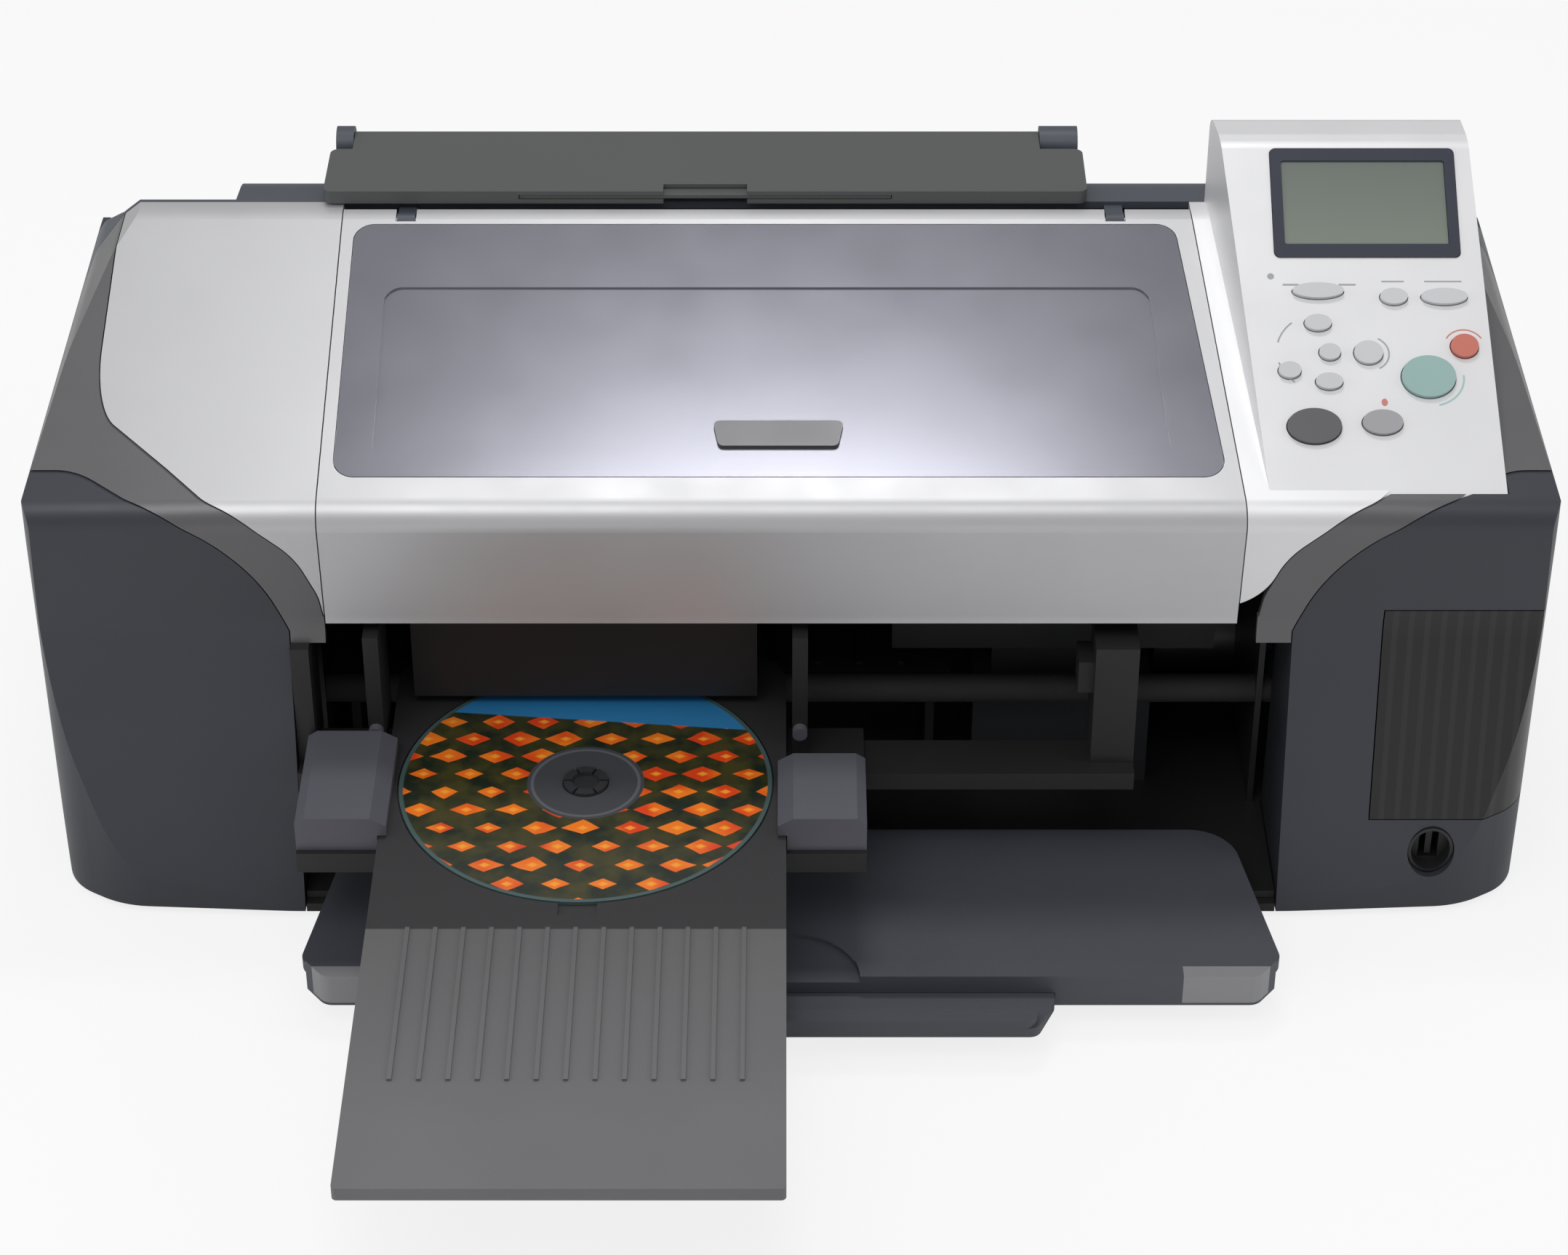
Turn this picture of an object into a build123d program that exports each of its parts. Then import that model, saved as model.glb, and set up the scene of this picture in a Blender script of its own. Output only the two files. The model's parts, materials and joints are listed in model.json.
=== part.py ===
"""Disc label printer: an inkjet photo printer with a slide-in disc tray, in millimetres.

X runs to the right as seen from the front, Y runs back into the machine and Z runs up.
The origin is on the floor, under the middle of the whole machine with its disc tray out.
"""
from build123d import *
import math
import os

os.makedirs("parts", exist_ok=True)

# ---------------------------------------------------------------- driving dimensions
body_width = 494.0          # over both cheeks
body_depth = 258.0          # front sill to back wall
tray_reach = 193.0          # disc tray tip, in front of the front sill
base_z = 3.0                # underside of the case, over the feet
brow_z = 106.0              # top of the raked front
brow_y = 19.0               # the front has drawn back this far at the brow
nose_z = 151.0              # where the front turns into the sloping top
nose_y = 15.5
nose_radius = 9.0
crest_y = 141.0             # rear edge of the sloping top
crest_z = 190.0
shelf_y = 165.0             # rear edge of the flat behind the top
shelf_z = 186.0
back_slope_y = 240.0
back_slope_z = 142.0
roof_z = 200.0              # over every point of the body
shoulder_x = 224.0          # upper corner of the side walls
shoulder_z = 184.0
foot_x = 243.0              # the side walls draw in a little under this height
foot_z = 20.0
wall = 2.5                  # moulded shells
seam = 0.4                  # gap between neighbouring shells
fit_gap = 0.3               # clearance of moving and seated pieces

opening_x = 161.0           # half width of the front opening
opening_top = 107.0         # lower edge of the printer cover
lid_left = -149.0
lid_right_front = 146.0
lid_right_rear = 133.0
lid_wall = 3.0

window_left = -145.0
window_right_front = 138.0
window_right_rear = 127.5
window_front_y = 30.0
window_rear_y = 134.0
window_depth = 1.6
window_radius = 7.0
panel_recess = 0.8          # step of the inner rectangle in the window
recess_left = -133.0
recess_right = 121.0
recess_front_y = 38.0
recess_rear_y = 107.0
badge_x = -4.0
badge_y = 47.0
badge_width = 42.0
badge_length = 10.0

disc_x = -66.0              # middle line of the disc tray
disc_y = -6.6               # disc centre behind the front sill
disc_radius = 60.0
disc_hole_radius = 7.5
disc_thickness = 1.2
tray_top_z = 62.0
tray_thickness = 4.5
disc_tray_width = 129.0
disc_tray_rear = 62.0
tail_y = -79.0              # where the dark bed ends and the ribbed tail begins
rib_end_y = -148.0
hub_radius = 18.0

out_tray_front = -54.0
out_tray_rear = 22.0
out_tray_top = 20.0
out_tray_front_half = 157.0
out_tray_rear_half = 146.0
out_tray_plate = 4.0
out_tray_lip = 12.0
thumb_radius = 22.0
extension_half = 84.0
extension_reach = 17.0      # shows in front of the tray at rest
extension_plate = 3.6

front_y = (tray_reach - body_depth) / 2   # Y of the front sill


def y(depth):
    """Y of a place given by its depth behind the front sill."""
    return front_y + depth


# ---------------------------------------------------------------- helpers
def keep(piece, name):
    """Label a finished piece and write it as its own file."""
    piece.part.label = name
    export_step(piece.part, f"parts/{name}.step")


def block(x_low, x_high, d_low, d_high, z_low, z_high):
    """A plain block; its Y limits are depths behind the front sill."""
    with BuildPart() as solid:
        with BuildSketch(Plane.XY.offset(z_low)):
            with Locations(((x_low + x_high) / 2, y((d_low + d_high) / 2))):
                Rectangle(x_high - x_low, d_high - d_low)
        extrude(amount=z_high - z_low)
    return solid.part


def plan_prism(points, z_low, z_high, radius=0.0):
    """A prism over a plan outline of (x, depth) points."""
    with BuildPart() as solid:
        with BuildSketch(Plane.XY.offset(z_low)):
            with BuildLine():
                FilletPolyline(*[(px, y(pd)) for px, pd in points], radius=radius, close=True)
            make_face()
        extrude(amount=z_high - z_low)
    return solid.part


def side_prism(points, x_low, x_high, radius=0.0):
    """A prism across the machine over a side outline of (depth, z) points."""
    with BuildPart() as solid:
        with BuildSketch(Plane.YZ.offset(x_low)):
            with BuildLine():
                FilletPolyline(*[(y(pd), pz) for pd, pz in points], radius=radius, close=True)
            make_face()
        extrude(amount=x_high - x_low)
    return solid.part


def front_prism(points, d_low, d_high, radius=0.0, grow=0.0):
    """A prism along the depth over a front outline of (x, z) points, grown by grow."""
    with BuildPart() as solid:
        with BuildSketch(Plane.XZ.offset(-y(d_high))):
            with BuildLine():
                FilletPolyline(*points, radius=radius, close=True)
            make_face()
            if grow:
                offset(amount=grow)
        extrude(amount=d_high - d_low)
    return solid.part


def rod(x_low, x_high, depth, z, radius):
    """A round bar across the machine."""
    with BuildPart() as solid:
        with BuildSketch(Plane.YZ.offset(x_low)):
            with Locations((y(depth), z)):
                Circle(radius)
        extrude(amount=x_high - x_low)
    return solid.part


def mirrored(points):
    """The same outline on the other side of the machine."""
    return [(-px, pz) for px, pz in points]


half_width = body_width / 2
back_radius = 26.0


def body_form(inset):
    """The closed outer form of the machine, drawn in by inset on every side.

    It is what a side outline, a front outline and a plan outline have in common.
    """
    side = [
        (y(0.0), base_z),
        (y(brow_y), brow_z),
        (y(nose_y), nose_z),
        (y(crest_y), crest_z),
        (y(shelf_y), shelf_z),
        (y(back_slope_y), back_slope_z),
        (y(body_depth), 84.0),
        (y(body_depth), base_z),
    ]
    half_front = [
        (foot_x, 0.0),
        (half_width, foot_z),
        (half_width, 118.0),
        (243.0, 150.0),
        (234.0, 171.0),
        (shoulder_x, shoulder_z),
        (204.0, roof_z),
    ]
    front = [(-px, pz) for px, pz in half_front] + half_front[::-1]
    half_plan = [(half_width, body_depth), (half_width, 42.0), (240.0, 14.0), (222.0, 3.0), (165.0, 0.0)]
    plan = [(-px, y(pd)) for px, pd in half_plan] + [(px, y(pd)) for px, pd in half_plan[::-1]]
    half_front_radii = [9, 14, 60, 40, 24, 14, 0]
    half_plan_radii = [back_radius, 30, 20, 34, 200]
    with BuildPart() as form:
        with BuildSketch(Plane.YZ.offset(-body_width)):
            with BuildLine():
                FilletPolyline(*side, radius=[0, 30, nose_radius, 22, 22, 28, 40, 0], close=True)
            make_face()
            if inset:
                offset(amount=-inset, kind=Kind.INTERSECTION)
        extrude(amount=2 * body_width)
        with BuildSketch(Plane.XZ.offset(-body_depth)):
            with BuildLine():
                FilletPolyline(*front, radius=half_front_radii + half_front_radii[::-1], close=True)
            make_face()
            if inset:
                offset(amount=-inset, kind=Kind.INTERSECTION)
        extrude(amount=2 * body_depth, mode=Mode.INTERSECT)
        with BuildSketch(Plane.XY.offset(-1.0)):
            with BuildLine():
                FilletPolyline(*plan, radius=half_plan_radii + half_plan_radii[::-1], close=True)
            make_face()
            if inset:
                offset(amount=-inset, kind=Kind.INTERSECTION)
        extrude(amount=roof_z + 20.0, mode=Mode.INTERSECT)
    with BuildPart() as right_half:
        add(form.part)
        add(block(0.0, body_width, -body_depth, 2 * body_depth, 0.0, roof_z + 1.0), mode=Mode.INTERSECT)
    with BuildPart() as whole:
        add(right_half.part)
        add(right_half.part.mirror(Plane.YZ))
    return whole.part


outer = body_form(0.0)
inner = body_form(wall)

# Outlines of the shells, seen from the front, on the left side: (x, z).
far = 300.0
cheek_line_z = 156.0
cheek_top = [(-226.0, cheek_line_z), (-200.0, 150.5), (-183.0, 139.5), (-169.0, 124.5), (-opening_x, 104.0)]
panel_low = [(-223.0, 164.0), (-197.0, 156.5), (-174.0, 149.5), (-157.0, 134.0), (-150.5, 118.0)]
below_cheek_top = [(-far, 0.0), (-far, cheek_line_z), *cheek_top, (-opening_x, 0.0)]
cheek_radii = [0, 0, 60, 40, 60, 60, 0, 0]
panel_region = [(-223.0, far), *panel_low, (lid_left - seam, 110.0), (lid_left - seam, far)]
panel_radii = [0, 10, 60, 30, 30, 20, 0, 0]

cheek_rear = 195.0
top_rear = 147.0            # front edge of the rear case's top
cheek_front_return = 52.0   # depth of the walls beside the front opening

# ---------------------------------------------------------------- cheeks and rims
card_x = 190.0              # card door: left edge, lower and upper edge
card_low = 37.0
card_high = 112.0
card_rear = 46.0
usb_x = 211.0
usb_z = 25.0
usb_half_w = 7.4
usb_half_h = 9.0

door_cut = block(card_x - seam, far, -20, card_rear + seam, card_low - seam, card_high + seam)
return_wall = block(-opening_x - wall, -opening_x, -10, cheek_front_return, base_z, 102.0)


def oval_prism(x, z, half_w, half_h, d_low, d_high):
    """An oval bar along the depth."""
    with BuildPart() as solid:
        with BuildSketch(Plane.XZ.offset(-y(d_high))):
            with Locations((x, z)):
                Ellipse(half_w, half_h)
        extrude(amount=d_high - d_low)
    return solid.part


usb_cut = oval_prism(usb_x, usb_z, usb_half_w + fit_gap, usb_half_h + fit_gap, -5.0, 28.0)
# ---------------------------------------------------------------- control housing
face_low = (22.0, 152.0)        # (depth, z) of the face's lower and upper ends
face_high = (128.0, 221.0)
housing_left = [(138.0, 150.0), (152.0, 18.0)]
housing_right = [(226.0, 18.0), (220.0, 150.0)]
face_angle = math.atan2(face_high[1] - face_low[1], face_high[0] - face_low[0])
face_run = math.hypot(face_high[0] - face_low[0], face_high[1] - face_low[1])
face_plane = Plane(
    origin=(0, y(face_low[0]), face_low[1]),
    x_dir=(1, 0, 0),
    z_dir=(0, -math.sin(face_angle), math.cos(face_angle)),
)
housing_top = face_high[1] + 1.0
housing_root = 152.0            # the wedge's walls go down into the body to here


def housing_wedge(inset):
    """The raised wedge that carries the display and the buttons, drawn in by inset."""
    slope = math.tan(face_angle)
    lift = inset / math.cos(face_angle)
    start = face_low[0] + 2.0 * inset
    profile = [
        (start, face_low[1] - lift + (start - face_low[0]) * slope),
        (face_high[0], face_high[1] - lift),
        (face_high[0] + 5.0, housing_top - inset),
        (top_rear - seam - inset, housing_top - inset),
        (top_rear - seam - inset, housing_root),
        (start + 12.0, housing_root),
    ]
    plan = [
        (housing_left[0][0] + inset, top_rear + 5.0),
        (housing_left[1][0] + inset, 10.0),
        (housing_right[0][0] - inset, 10.0),
        (housing_right[1][0] - inset, top_rear + 5.0),
    ]
    with BuildPart() as solid:
        add(side_prism(profile, lid_right_rear, half_width, [0, 8, 5, 5, 0, 0]))
        add(plan_prism(plan, 100.0, 260.0), mode=Mode.INTERSECT)
    return solid.part


lid_right = [(lid_right_front + seam, -20.0), (lid_right_rear + seam, crest_y)]
right_of_lid = plan_prism(
    [*lid_right, (lid_right_rear + seam, top_rear - seam), (far, top_rear - seam), (far, -20.0)],
    100.0, 240.0,
)
right_panel_region = front_prism(
    mirrored(panel_region[:-2]) + [(130.0, 110.0), (130.0, far)],
    -20.0, top_rear - seam, panel_radii,
)

# The panel's layout, in the plane of its face: x, then distance up the face.
display_x, display_w = 185.9, 105.0
display_width, display_height = 60.0, 39.4
screen_width, screen_height = 53.0, 30.2
display_radius = 2.0
button_rise = 1.5
button_travel = 0.8
button_flange = 1.0         # how far the flange under the panel stands out
flange_thickness = 1.0
buttons = {
    "mode_button": (169.2, 73.0, 8.2, 2.7),
    "options_button": (193.4, 70.9, 4.4, 2.8),
    "zoom_button": (209.6, 70.9, 7.4, 2.8),
    "up_button": (168.6, 61.6, 4.3, 2.8),
    "left_button": (158.8, 44.9, 3.6, 2.8),
    "down_button": (171.2, 41.0, 4.3, 2.8),
    "right_button": (171.9, 51.3, 3.4, 2.8),
    "ok_button": (184.2, 51.1, 4.6, 4.0),
    "stop_button": (215.0, 53.4, 4.4, 4.0),
    "print_button": (202.9, 42.6, 8.6, 7.2),
    "power_button": (165.7, 25.4, 8.6, 6.0),
    "paper_button": (187.4, 26.7, 6.4, 4.2),
}


def face_oval(x, w, half_w, half_h, low, high):
    """An oval bar square to the panel's face, from low to high above it."""
    with BuildPart() as solid:
        with BuildSketch(face_plane.offset(low)):
            with Locations((x, w)):
                Ellipse(half_w, half_h)
        extrude(amount=high - low)
    return solid.part


def face_plate(x, w, width, height, low, high, radius):
    """A plate with round corners in the panel's face, from low to high above it."""
    with BuildPart() as solid:
        with BuildSketch(face_plane.offset(low)):
            with Locations((x, w)):
                RectangleRounded(width, height, radius)
        extrude(amount=high - low)
    return solid.part


with BuildPart() as housing_body:
    add(outer)
    add(right_of_lid, mode=Mode.INTERSECT)
    add(right_panel_region, mode=Mode.INTERSECT)
    add(housing_wedge(0.0))
with BuildPart() as housing_core:
    add(inner)
    add(housing_wedge(wall))
display_cut = face_plate(
    display_x, display_w, display_width + fit_gap, display_height + fit_gap, -8.0, 4.0, display_radius,
)
with BuildPart() as control_housing:
    add(housing_body.part)
    add(housing_core.part, mode=Mode.SUBTRACT)
    add(display_cut, mode=Mode.SUBTRACT)
    for bx, bw, half_w, half_h in buttons.values():
        hole = face_oval(bx, bw, half_w + fit_gap, half_h + fit_gap, -8.0, 4.0)
        add(hole, mode=Mode.SUBTRACT)
keep(control_housing, "control_housing")

flange_top = -wall - fit_gap
for name, (bx, bw, half_w, half_h) in buttons.items():
    cap = face_oval(bx, bw, half_w, half_h, flange_top - flange_thickness, button_rise)
    flange = face_oval(
        bx, bw, half_w + button_flange, half_h + button_flange,
        flange_top - flange_thickness, flange_top,
    )
    with BuildPart() as button:
        add(cap)
        add(flange)
    keep(button, name)

bezel_low = -wall
bezel_proud = 0.6
screen_fit = 0.1
screen_plate = 1.6
with BuildPart() as lcd_bezel:
    add(face_plate(display_x, display_w, display_width, display_height,
                   bezel_low, bezel_proud, display_radius))
    add(face_plate(display_x, display_w, screen_width, screen_height,
                   bezel_low - 1, bezel_proud + 1, 0.8), mode=Mode.SUBTRACT)
keep(lcd_bezel, "lcd_bezel")

with BuildPart() as lcd_screen:
    add(face_plate(display_x, display_w, screen_width - 2 * screen_fit,
                   screen_height - 2 * screen_fit, bezel_low - screen_plate, bezel_proud - 0.6, 0.7))
    add(face_plate(display_x, display_w, display_width - 2.0, display_height - 2.0,
                   bezel_low - screen_plate, bezel_low, display_radius))
keep(lcd_screen, "lcd_screen")

board_plate = 1.6
board_top = flange_top - flange_thickness - button_travel - fit_gap
board_left, board_low, board_step, board_high = 157.0, 16.0, 36.0, 116.0
board_narrow, board_wide = 36.0, 59.0
with BuildPart() as panel_board:
    add(face_plate(board_left + board_wide / 2, (board_step + board_high) / 2, board_wide,
                   board_high - board_step, board_top - board_plate, board_top, 1.0))
    add(face_plate(board_left + board_narrow / 2, (board_low + board_step) / 2 + 2, board_narrow,
                   board_step - board_low + 4, board_top - board_plate, board_top, 1.0))
keep(panel_board, "panel_board")

# ---------------------------------------------------------------- cheeks, rims and left panel
cheek_region = front_prism(below_cheek_top, -20.0, cheek_rear - seam, cheek_radii)
cheek_clear = front_prism(below_cheek_top, -20.0, cheek_rear, cheek_radii, seam)
top_panel_region = front_prism(panel_region, -20.0, top_rear - seam, panel_radii)
top_panel_clear = front_prism(panel_region, -20.0, top_rear, panel_radii, seam)
rim_region = block(-far, lid_left - seam, -20.0, top_rear - seam, 100.0, roof_z)
housing_clear = housing_wedge(-seam)


def side_piece(region, side):
    """A left side's solid as it stands, or its mirror image for the right side."""
    return region if side == "left" else region.mirror(Plane.YZ)


for side in ("left", "right"):
    with BuildPart() as side_wall:
        add(outer)
        add(side_piece(return_wall, side), mode=Mode.INTERSECT)
    with BuildPart() as cheek:
        add(outer)
        add(inner, mode=Mode.SUBTRACT)
        add(side_piece(cheek_region, side), mode=Mode.INTERSECT)
        add(side_wall.part)
        if side == "right":
            add(door_cut, mode=Mode.SUBTRACT)
            add(usb_cut, mode=Mode.SUBTRACT)
            add(housing_clear, mode=Mode.SUBTRACT)
    keep(cheek, f"{side}_cheek")
    with BuildPart() as rim:
        add(outer)
        add(inner, mode=Mode.SUBTRACT)
        add(side_piece(rim_region, side), mode=Mode.INTERSECT)
        add(side_piece(cheek_clear, side), mode=Mode.SUBTRACT)
        add(side_piece(top_panel_clear, side), mode=Mode.SUBTRACT)
        if side == "right":
            add(housing_clear, mode=Mode.SUBTRACT)
    keep(rim, f"{side}_rim")

with BuildPart() as left_top_panel:
    add(outer)
    add(inner, mode=Mode.SUBTRACT)
    add(top_panel_region, mode=Mode.INTERSECT)
keep(left_top_panel, "left_top_panel")

# ---------------------------------------------------------------- printer cover
lid_inner = body_form(lid_wall)
window_floor = body_form(window_depth)
panel_floor = body_form(panel_recess)
cover_region = plan_prism(
    [(lid_left, -20.0), (lid_right_front, -20.0), (lid_right_rear, crest_y), (lid_left, crest_y)],
    opening_top, 240.0,
)


def window_outline(clear):
    """The cover's window from above, drawn in by clear on every side."""
    return [
        (window_left + clear, window_front_y + clear),
        (window_right_front - clear, window_front_y + clear),
        (window_right_rear - clear, window_rear_y - clear),
        (window_left + clear, window_rear_y - clear),
    ]


window_hole = plan_prism(window_outline(0.0), nose_z - 10.0, roof_z, window_radius)
window_region = plan_prism(window_outline(fit_gap), nose_z - 10.0, roof_z, window_radius - fit_gap)
recess_region = plan_prism(
    [(recess_left, recess_front_y), (recess_right, recess_front_y),
     (recess_right - 4.0, recess_rear_y), (recess_left, recess_rear_y)],
    nose_z - 10.0, roof_z, 6.0,
)
badge_low = badge_width / 2 - 2.0
badge_region = plan_prism(
    [(badge_x - badge_low, badge_y - badge_length / 2),
     (badge_x + badge_low, badge_y - badge_length / 2),
     (badge_x + badge_width / 2, badge_y + badge_length / 2),
     (badge_x - badge_width / 2, badge_y + badge_length / 2)],
    nose_z - 10.0, roof_z, 2.0,
)
with BuildPart() as window_space:
    add(outer)
    add(window_floor, mode=Mode.SUBTRACT)
    add(window_hole, mode=Mode.INTERSECT)

cover_hinge_y = 138.3
cover_hinge_z = 186.2
cover_pin_radius = 1.5
cover_arm_radius = 2.8
cover_arm_width = 6.0
cover_arms = (-128.0, 108.0)     # middle of each hinge arm
with BuildPart() as printer_cover:
    add(outer)
    add(lid_inner, mode=Mode.SUBTRACT)
    add(cover_region, mode=Mode.INTERSECT)
    add(window_space.part, mode=Mode.SUBTRACT)
    for arm_x in cover_arms:
        notch = cover_arm_width / 2 + seam
        add(block(arm_x - notch, arm_x + notch, cover_hinge_y - cover_arm_radius - seam, 150.0,
                  170.0, roof_z), mode=Mode.SUBTRACT)
        add(rod(arm_x - notch - 1.5, arm_x + notch + 1.5, cover_hinge_y, cover_hinge_z,
                cover_pin_radius))
keep(printer_cover, "printer_cover")

with BuildPart() as recess_space:
    add(outer)
    add(panel_floor, mode=Mode.SUBTRACT)
    add(recess_region, mode=Mode.INTERSECT)
with BuildPart() as cover_window:
    add(outer)
    add(window_floor, mode=Mode.SUBTRACT)
    add(window_region, mode=Mode.INTERSECT)
    add(recess_space.part, mode=Mode.SUBTRACT)
keep(cover_window, "cover_window")

badge_proud = 0.5
badge_top = outer.moved(Location((0, 0, badge_proud)))
with BuildPart() as badge_plate:
    add(badge_top)
    add(panel_floor, mode=Mode.SUBTRACT)
    add(badge_region, mode=Mode.INTERSECT)
keep(badge_plate, "badge_plate")

# ---------------------------------------------------------------- rear case and hopper
hopper_left, hopper_right = -140.0, 92.0
hopper_top = (186.0, 180.0)
hopper_foot = (152.0, 104.0)
hopper_sheet = 2.5
support_axis_y = 184.5
support_axis_z = 190.6
support_pin_radius = 1.6
support_lug_radius = 6.0
support_lugs = [(-155.0, -149.0), (85.0, 98.0)]
rear_region = side_prism(
    [(cheek_rear, -10.0), (far, -10.0), (far, far), (top_rear, far), (top_rear, cheek_line_z + seam),
     (cheek_rear, cheek_line_z + seam)], -far, far,
)
hopper_plate = side_prism(
    [(hopper_top[0], hopper_top[1] - 6.0), (hopper_top[0] + 2.0, hopper_top[1] + 1.0),
     (hopper_top[0] - 1.5, hopper_top[1] + 1.0), hopper_foot,
     (hopper_foot[0] + hopper_sheet, hopper_foot[1])],
    hopper_left, hopper_right,
)
socket_x = 190.0
socket_z = 36.0
socket_width, socket_height = 27.0, 20.0
rear_usb_x = 150.0
screw_places = [(-190.0, 30.0), (110.0, 70.0), (-190.0, 76.0), (190.0, 76.0)]
screw_length = 12.0
screw_head = 1.7
bearing = 0.08


def screw(x, z, clear):
    """A pan-head screw in the back wall, or the space for one with clear all round."""
    with BuildPart() as solid:
        with BuildSketch(Plane.XZ.offset(-y(body_depth) - clear)):
            with Locations((x, z)):
                Circle(3.0 + clear)
        extrude(amount=screw_head + clear)
        with BuildSketch(Plane.XZ.offset(-y(body_depth - screw_head))):
            with Locations((x, z)):
                Circle(1.5 + clear)
        extrude(amount=screw_length)
    return solid.part


with BuildPart() as case_screws:
    for screw_x, screw_z in screw_places:
        add(screw(screw_x, screw_z, 0.0))
keep(case_screws, "case_screws")

hump_half = 186.0           # half width of the raised feeder part of the back
fall_front = (149.0, 184.0)
fall_back = (270.0, 90.0)


def beside_hump(drop):
    """What lies over the steep shoulders at each side of the feeder, lowered by drop."""
    profile = [
        (fall_front[0] - 1.6 * drop, far), (fall_front[0] - 1.6 * drop, fall_front[1] - 0.3 * drop),
        (fall_back[0] - 1.6 * drop, fall_back[1] - 0.3 * drop), (fall_back[0], far),
    ]
    with BuildPart() as solid:
        add(side_prism(profile, -far, -hump_half + drop))
        add(side_prism(profile, hump_half - drop, far))
    return solid.part


with BuildPart() as rear_core:
    add(inner)
    add(beside_hump(wall), mode=Mode.SUBTRACT)
with BuildPart() as rear_case:
    add(outer)
    add(beside_hump(0.0), mode=Mode.SUBTRACT)
    add(rear_core.part, mode=Mode.SUBTRACT)
    add(rear_region, mode=Mode.INTERSECT)
    add(block(hopper_left, hopper_right, top_rear + 5.0, hopper_top[0], 150.0, roof_z),
        mode=Mode.SUBTRACT)
    add(hopper_plate)
    for arm_x in cover_arms:
        low, high = arm_x - cover_arm_width / 2, arm_x + cover_arm_width / 2
        add(rod(low, high, cover_hinge_y, cover_hinge_z, cover_arm_radius))
        add(block(low, high, cover_hinge_y, top_rear + 3.0, cover_hinge_z - cover_arm_radius,
                  cover_hinge_z + 1.5))
        add(rod(low - 1, high + 1, cover_hinge_y, cover_hinge_z, cover_pin_radius + 0.08),
            mode=Mode.SUBTRACT)
    for low, high in support_lugs:
        add(rod(low, high, support_axis_y, support_axis_z, support_lug_radius))
        add(block(low, high, support_axis_y - support_lug_radius, support_axis_y + support_lug_radius,
                  168.0, support_axis_z))
        add(rod(low - 1, high + 1, support_axis_y, support_axis_z, support_pin_radius + 0.1),
            mode=Mode.SUBTRACT)
    add(block(socket_x - socket_width / 2 - fit_gap, socket_x + socket_width / 2 + fit_gap,
              body_depth - 20, body_depth + 5, socket_z - socket_height / 2 - fit_gap,
              socket_z + socket_height / 2 + fit_gap), mode=Mode.SUBTRACT)
    add(block(rear_usb_x - 6.5, rear_usb_x + 6.5, body_depth - 20, body_depth + 5, 28.0, 40.0),
        mode=Mode.SUBTRACT)
    for screw_x, screw_z in screw_places:
        add(screw(screw_x, screw_z, bearing), mode=Mode.SUBTRACT)
    for row in range(9):
        add(block(-60.0 + 14 * row, -56.0 + 14 * row, body_depth - 20, body_depth + 5, 30.0, 62.0),
            mode=Mode.SUBTRACT)
keep(rear_case, "rear_case")

# ---------------------------------------------------------------- paper support
support_left, support_right = -156.0, 99.0
support_front = 143.5
support_low = 190.2
support_plate = 4.6
notch_y = 173.0
slot_low, slot_high = 191.7, 193.4
support_ext_half = 62.0
support_mid_x = (support_left + support_right) / 2
support_ext_travel = 26.0
with BuildPart() as paper_support:
    add(plan_prism(
        [(support_left, support_front), (support_right, support_front), (support_right, notch_y),
         (support_lugs[1][0] - fit_gap, notch_y), (support_lugs[1][0] - fit_gap, support_axis_y),
         (support_lugs[0][1] + fit_gap, support_axis_y), (support_lugs[0][1] + fit_gap, notch_y),
         (support_left, notch_y)],
        support_low, support_low + support_plate, [3, 3, 3, 0, 0, 0, 0, 3],
    ))
    add(rod(support_lugs[0][1] + fit_gap, support_lugs[1][0] - fit_gap,
            support_axis_y, support_axis_z + 0.6, 3.6))
    add(block(support_mid_x - support_ext_half - fit_gap, support_mid_x + support_ext_half + fit_gap,
              support_front - 2, 179.0, slot_low, slot_high), mode=Mode.SUBTRACT)
    add(block(support_mid_x - 14, support_mid_x + 14, support_front - 2, support_front + 5,
              support_low - 1, support_low + support_plate + 1), mode=Mode.SUBTRACT)
    for low, high in support_lugs:
        inward = low if low > 0 else high - 4.5
        add(rod(inward + 0.5 if low < 0 else low - 3, inward + 7.5 if low < 0 else low + 4,
                support_axis_y, support_axis_z, support_pin_radius))
keep(paper_support, "paper_support")

with BuildPart() as support_extension:
    add(block(support_mid_x - support_ext_half, support_mid_x + support_ext_half,
              support_front + 0.5, 178.0, slot_low + 0.25, slot_high - 0.25))
keep(support_extension, "support_extension")

guide_dir = (hopper_foot[0] - hopper_top[0], hopper_foot[1] - hopper_top[1])
guide_len = math.hypot(*guide_dir)
along = (guide_dir[0] / guide_len, guide_dir[1] / guide_len)
normal = (along[1], -along[0])
hopper_face = (hopper_top[0] - 1.5, hopper_top[1] + 1.0)


def on_hopper(down, out):
    """A (depth, z) place: down the hopper's face from its top, and out from it."""
    return (hopper_face[0] + along[0] * down + normal[0] * out,
            hopper_face[1] + along[1] * down + normal[1] * out)


edge_guide_x = -113.0
with BuildPart() as edge_guide:
    add(side_prism([on_hopper(10, fit_gap), on_hopper(68, fit_gap), on_hopper(68, 9.0),
                    on_hopper(10, 9.0)], edge_guide_x - 3.0, edge_guide_x, [1, 1, 3, 3]))
    add(side_prism([on_hopper(20, fit_gap), on_hopper(34, fit_gap), on_hopper(34, 3.0),
                    on_hopper(20, 3.0)], edge_guide_x - 16.0, edge_guide_x, [0.5, 0.5, 1, 1]))
keep(edge_guide, "edge_guide")

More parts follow.
